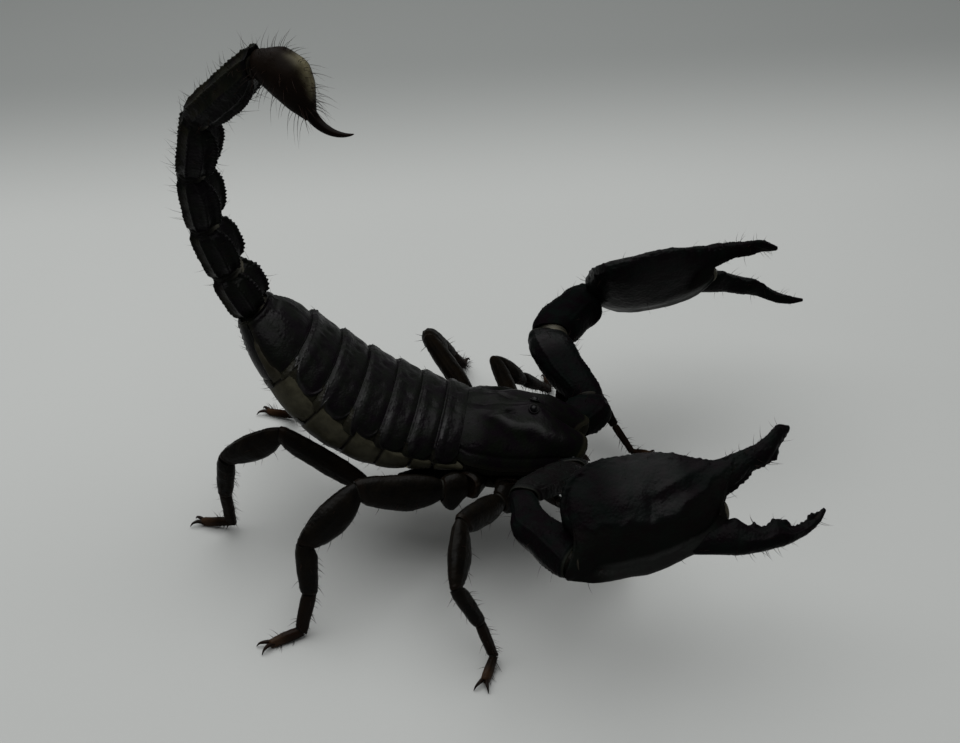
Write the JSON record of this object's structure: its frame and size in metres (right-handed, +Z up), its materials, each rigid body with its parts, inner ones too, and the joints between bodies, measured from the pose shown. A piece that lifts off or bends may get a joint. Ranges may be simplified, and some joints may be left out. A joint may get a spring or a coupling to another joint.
{
  "type": "forest scorpion",
  "caption": "Still, life-size forest scorpion standing on eight legs, tail arched over its back and both claws held open.",
  "frame": {"origin": "on the floor under the middle of the animal's bounding box", "axes": "+X is the way the animal faces, +Y its left, +Z up"},
  "size_m": [0.0886, 0.0796, 0.0779],
  "materials": {
    "black_cuticle": "hard black shell with a soft gloss",
    "brown_cuticle": "dark red-brown shell, glossy",
    "pale_comb_cuticle": "pale yellow-brown soft shell",
    "eye_cornea": "polished black"
  },
  "bodies": {
    "root": {"carapace": "black_cuticle", "chelicera_left": "brown_cuticle", "chelicera_right": "brown_cuticle", "coxosternum": "black_cuticle", "leg_left_1_femur": "black_cuticle", "leg_left_1_foot": "brown_cuticle", "leg_left_1_patella": "black_cuticle", "leg_left_2_femur": "black_cuticle", "leg_left_2_foot": "brown_cuticle", "leg_left_2_patella": "black_cuticle", "leg_left_3_femur": "black_cuticle", "leg_left_3_foot": "brown_cuticle", "leg_left_3_patella": "black_cuticle", "leg_left_4_femur": "black_cuticle", "leg_left_4_foot": "brown_cuticle", "leg_left_4_patella": "black_cuticle", "leg_right_1_femur": "black_cuticle", "leg_right_1_foot": "brown_cuticle", "leg_right_1_patella": "black_cuticle", "leg_right_2_femur": "black_cuticle", "leg_right_2_foot": "brown_cuticle", "leg_right_2_patella": "black_cuticle", "leg_right_3_femur": "black_cuticle", "leg_right_3_foot": "brown_cuticle", "leg_right_3_patella": "black_cuticle", "leg_right_4_femur": "black_cuticle", "leg_right_4_foot": "brown_cuticle", "leg_right_4_patella": "black_cuticle", "median_eye_left": "eye_cornea", "median_eye_right": "eye_cornea", "mesosoma_1": "black_cuticle", "mesosoma_2": "black_cuticle", "mesosoma_3": "black_cuticle", "mesosoma_4": "black_cuticle", "mesosoma_5": "black_cuticle", "mesosoma_6": "black_cuticle", "mesosoma_7": "black_cuticle", "metasoma_1": "black_cuticle", "metasoma_2": "black_cuticle", "metasoma_3": "black_cuticle", "metasoma_4": "black_cuticle", "metasoma_5": "black_cuticle", "pecten_left": "pale_comb_cuticle", "pecten_right": "pale_comb_cuticle", "pedipalp_left_femur": "black_cuticle", "pedipalp_left_finger": "black_cuticle", "pedipalp_left_hand": "black_cuticle", "pedipalp_left_patella": "black_cuticle", "pedipalp_left_trochanter": "black_cuticle", "pedipalp_right_femur": "black_cuticle", "pedipalp_right_finger": "black_cuticle", "pedipalp_right_hand": "black_cuticle", "pedipalp_right_patella": "black_cuticle", "pedipalp_right_trochanter": "black_cuticle", "telson_aculeus": "brown_cuticle", "telson_vesicle": "brown_cuticle"}
  },
  "joints": []
}
